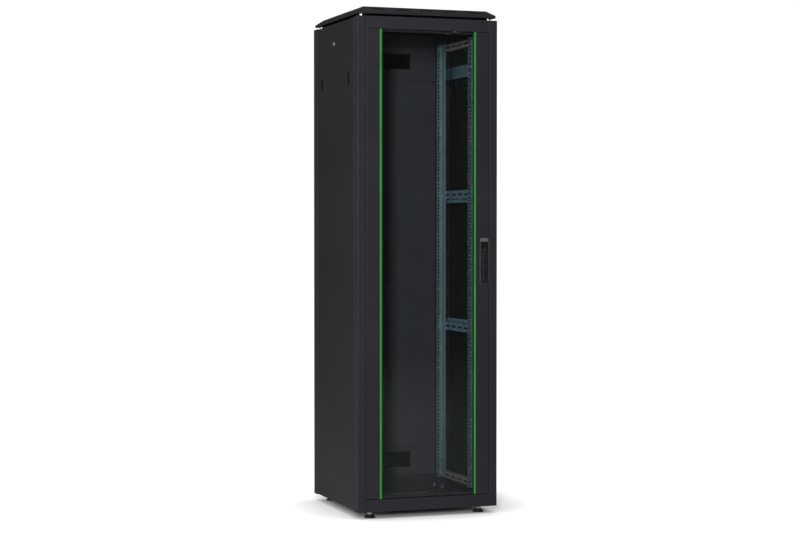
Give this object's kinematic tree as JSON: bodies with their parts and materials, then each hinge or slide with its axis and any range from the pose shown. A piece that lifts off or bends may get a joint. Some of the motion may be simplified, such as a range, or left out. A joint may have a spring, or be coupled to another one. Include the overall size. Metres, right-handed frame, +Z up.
{
  "type": "network server rack cabinet",
  "caption": "Tall free-standing 19 inch equipment cabinet with a glass front door, lockable side panels, steel rear door, vented roof and levelling feet.",
  "frame": {"origin": "on the floor under the middle of the cabinet, at the soles of the levelling feet", "axes": "+Z up, front door faces -Y, +X to the right seen from the front"},
  "size_m": [0.603, 0.634, 2.053],
  "materials": {
    "painted_frame": "satin powder coat, charcoal black",
    "painted_panel": "satin powder coat, charcoal black",
    "painted_door": "satin powder coat, charcoal black",
    "painted_inner": "satin powder coat, dark grey",
    "roof": "satin powder coat, charcoal black",
    "galvanised": "bright galvanised steel",
    "plain_steel": "aluminium-zinc coated steel",
    "zinc_fasteners": "bright zinc plate",
    "door_glass": "lightly tinted safety glass",
    "green_trim": "green plastic strip",
    "black_plastic": "moulded black plastic",
    "handle_metal": "satin black die casting",
    "lock_metal": "polished nickel plate",
    "brush": "black bristle",
    "foot_plastic": "black plastic"
  },
  "bodies": {
    "frame": {"front_left_post": "painted_frame", "front_right_post": "painted_frame", "rear_left_post": "painted_frame", "rear_right_post": "painted_frame", "front_top_beam": "painted_frame", "front_bottom_beam": "painted_frame", "rear_top_beam": "painted_frame", "rear_bottom_beam": "painted_frame", "side_depth_beams": "plain_steel", "rail_braces": "galvanised", "latch_bars": "galvanised", "base_plate": "painted_inner", "roof_cover": "roof", "roof_fixings": "zinc_fasteners", "rear_top_cable_panel": "painted_inner", "rear_bottom_cable_panel": "painted_inner", "brush_strips": "brush"},
    "front_left_rail": {"front_left_rail": "galvanised", "front_left_rail_bolts": "zinc_fasteners"},
    "front_right_rail": {"front_right_rail": "galvanised", "front_right_rail_bolts": "zinc_fasteners"},
    "rear_left_rail": {"rear_left_rail": "galvanised", "rear_left_rail_bolts": "zinc_fasteners"},
    "rear_right_rail": {"rear_right_rail": "galvanised", "rear_right_rail_bolts": "zinc_fasteners"},
    "front_door": {"front_door_left_profile": "painted_door", "front_door_right_profile": "painted_door", "front_door_glass": "door_glass", "front_door_trim_strips": "green_trim", "front_door_cross_rails": "painted_door", "front_door_pivots": "zinc_fasteners", "handle_base": "handle_metal"},
    "handle_spindle": {"handle_spindle": "zinc_fasteners", "latch_tongue": "zinc_fasteners"},
    "handle_lever": {"handle_lever": "handle_metal"},
    "handle_key_plug": {"handle_key_plug": "handle_metal"},
    "upper_lock_rod": {"upper_lock_rod": "zinc_fasteners"},
    "lower_lock_rod": {"lower_lock_rod": "zinc_fasteners"},
    "left_side_panel": {"left_side_panel": "painted_panel", "left_panel_lock_housing": "lock_metal"},
    "left_panel_lock_cam": {"left_panel_lock_cam": "lock_metal"},
    "left_panel_front_latch": {"left_panel_front_latch": "black_plastic"},
    "left_panel_rear_latch": {"left_panel_rear_latch": "black_plastic"},
    "right_side_panel": {"right_side_panel": "painted_panel", "right_panel_lock_housing": "lock_metal"},
    "right_panel_lock_cam": {"right_panel_lock_cam": "lock_metal"},
    "right_panel_front_latch": {"right_panel_front_latch": "black_plastic"},
    "right_panel_rear_latch": {"right_panel_rear_latch": "black_plastic"},
    "rear_door": {"rear_door": "painted_inner", "rear_door_pivots": "zinc_fasteners", "rear_lock_housing": "lock_metal"},
    "rear_lock_cam": {"rear_lock_cam": "lock_metal"},
    "front_left_foot": {"front_left_foot_pad": "foot_plastic", "front_left_foot_stud": "zinc_fasteners"},
    "front_right_foot": {"front_right_foot_pad": "foot_plastic", "front_right_foot_stud": "zinc_fasteners"},
    "rear_left_foot": {"rear_left_foot_pad": "foot_plastic", "rear_left_foot_stud": "zinc_fasteners"},
    "rear_right_foot": {"rear_right_foot_pad": "foot_plastic", "rear_right_foot_stud": "zinc_fasteners"}
  },
  "joints": [
    {"name": "front_door_swing", "type": "hinge", "parent": "frame", "child": "front_door", "pos_m": [-0.2505, -0.293, 1.021], "axis": [0, 0, -1], "range_deg": [0, 120]},
    {"name": "handle_turn", "type": "hinge", "parent": "front_door", "child": "handle_spindle", "pos_m": [0.2435, -0.3075, 1.074], "axis": [0, 1, 0], "range_deg": [0, 90]},
    {"name": "handle_lift", "type": "hinge", "parent": "handle_spindle", "child": "handle_lever", "pos_m": [0.2435, -0.3075, 1.074], "axis": [-1, 0, 0], "range_deg": [0, 35]},
    {"name": "handle_key_turn", "type": "hinge", "parent": "handle_lever", "child": "handle_key_plug", "pos_m": [0.2435, -0.312, 0.982], "axis": [0, 1, 0], "range_deg": [0, 90]},
    {"name": "upper_lock_rod_slide", "type": "slide", "parent": "front_door", "child": "upper_lock_rod", "axis": [0, 0, -1], "range_m": [0, 0.018], "stiffness_N_per_m": 60, "springref_m": -0.06},
    {"name": "lower_lock_rod_slide", "type": "slide", "parent": "front_door", "child": "lower_lock_rod", "axis": [0, 0, 1], "range_m": [0, 0.018]},
    {"name": "left_panel_tilt", "type": "hinge", "parent": "frame", "child": "left_side_panel", "pos_m": [-0.299, 0, 0.0331], "axis": [0, -1, 0], "range_deg": [0, 25]},
    {"name": "left_panel_lock_turn", "type": "hinge", "parent": "left_side_panel", "child": "left_panel_lock_cam", "pos_m": [-0.3, 0.015, 1.927], "axis": [1, 0, 0], "range_deg": [0, 90]},
    {"name": "right_panel_tilt", "type": "hinge", "parent": "frame", "child": "right_side_panel", "pos_m": [0.299, 0, 0.0331], "axis": [0, 1, 0], "range_deg": [0, 25]},
    {"name": "right_panel_lock_turn", "type": "hinge", "parent": "right_side_panel", "child": "right_panel_lock_cam", "pos_m": [0.3, 0.015, 1.927], "axis": [1, 0, 0], "range_deg": [0, 90]},
    {"name": "left_panel_front_latch_slide", "type": "slide", "parent": "left_side_panel", "child": "left_panel_front_latch", "axis": [0, 0, -1], "range_m": [0, 0.008], "stiffness_N_per_m": 150, "springref_m": -0.005},
    {"name": "left_panel_rear_latch_slide", "type": "slide", "parent": "left_side_panel", "child": "left_panel_rear_latch", "axis": [0, 0, -1], "range_m": [0, 0.008], "stiffness_N_per_m": 150, "springref_m": -0.005},
    {"name": "right_panel_front_latch_slide", "type": "slide", "parent": "right_side_panel", "child": "right_panel_front_latch", "axis": [0, 0, -1], "range_m": [0, 0.008], "stiffness_N_per_m": 150, "springref_m": -0.005},
    {"name": "right_panel_rear_latch_slide", "type": "slide", "parent": "right_side_panel", "child": "right_panel_rear_latch", "axis": [0, 0, -1], "range_m": [0, 0.008], "stiffness_N_per_m": 150, "springref_m": -0.005},
    {"name": "rear_door_swing", "type": "hinge", "parent": "frame", "child": "rear_door", "pos_m": [0.2505, 0.293, 1.023], "axis": [0, 0, -1], "range_deg": [0, 120]},
    {"name": "rear_lock_turn", "type": "hinge", "parent": "rear_door", "child": "rear_lock_cam", "pos_m": [-0.232, 0.3, 1.022], "axis": [0, 1, 0], "range_deg": [0, 90]},
    {"name": "front_left_rail_adjust", "type": "slide", "parent": "frame", "child": "front_left_rail", "axis": [0, 1, 0], "range_m": [-0.03, 0.025]},
    {"name": "rear_left_rail_adjust", "type": "slide", "parent": "frame", "child": "rear_left_rail", "axis": [0, 1, 0], "range_m": [-0.015, 0.025]},
    {"name": "front_right_rail_adjust", "type": "slide", "parent": "frame", "child": "front_right_rail", "axis": [0, 1, 0], "range_m": [-0.03, 0.025]},
    {"name": "rear_right_rail_adjust", "type": "slide", "parent": "frame", "child": "rear_right_rail", "axis": [0, 1, 0], "range_m": [-0.015, 0.025]},
    {"name": "front_left_foot_height", "type": "slide", "parent": "frame", "child": "front_left_foot", "axis": [0, 0, -1], "range_m": [0, 0.014]},
    {"name": "front_right_foot_height", "type": "slide", "parent": "frame", "child": "front_right_foot", "axis": [0, 0, -1], "range_m": [0, 0.014]},
    {"name": "rear_left_foot_height", "type": "slide", "parent": "frame", "child": "rear_left_foot", "axis": [0, 0, -1], "range_m": [0, 0.014]},
    {"name": "rear_right_foot_height", "type": "slide", "parent": "frame", "child": "rear_right_foot", "axis": [0, 0, -1], "range_m": [0, 0.014]}
  ],
  "couplings": [
    {"joint": "upper_lock_rod_slide", "follows": "handle_turn", "m_per_rad": 0.0112},
    {"joint": "lower_lock_rod_slide", "follows": "handle_turn", "m_per_rad": 0.0112}
  ]
}
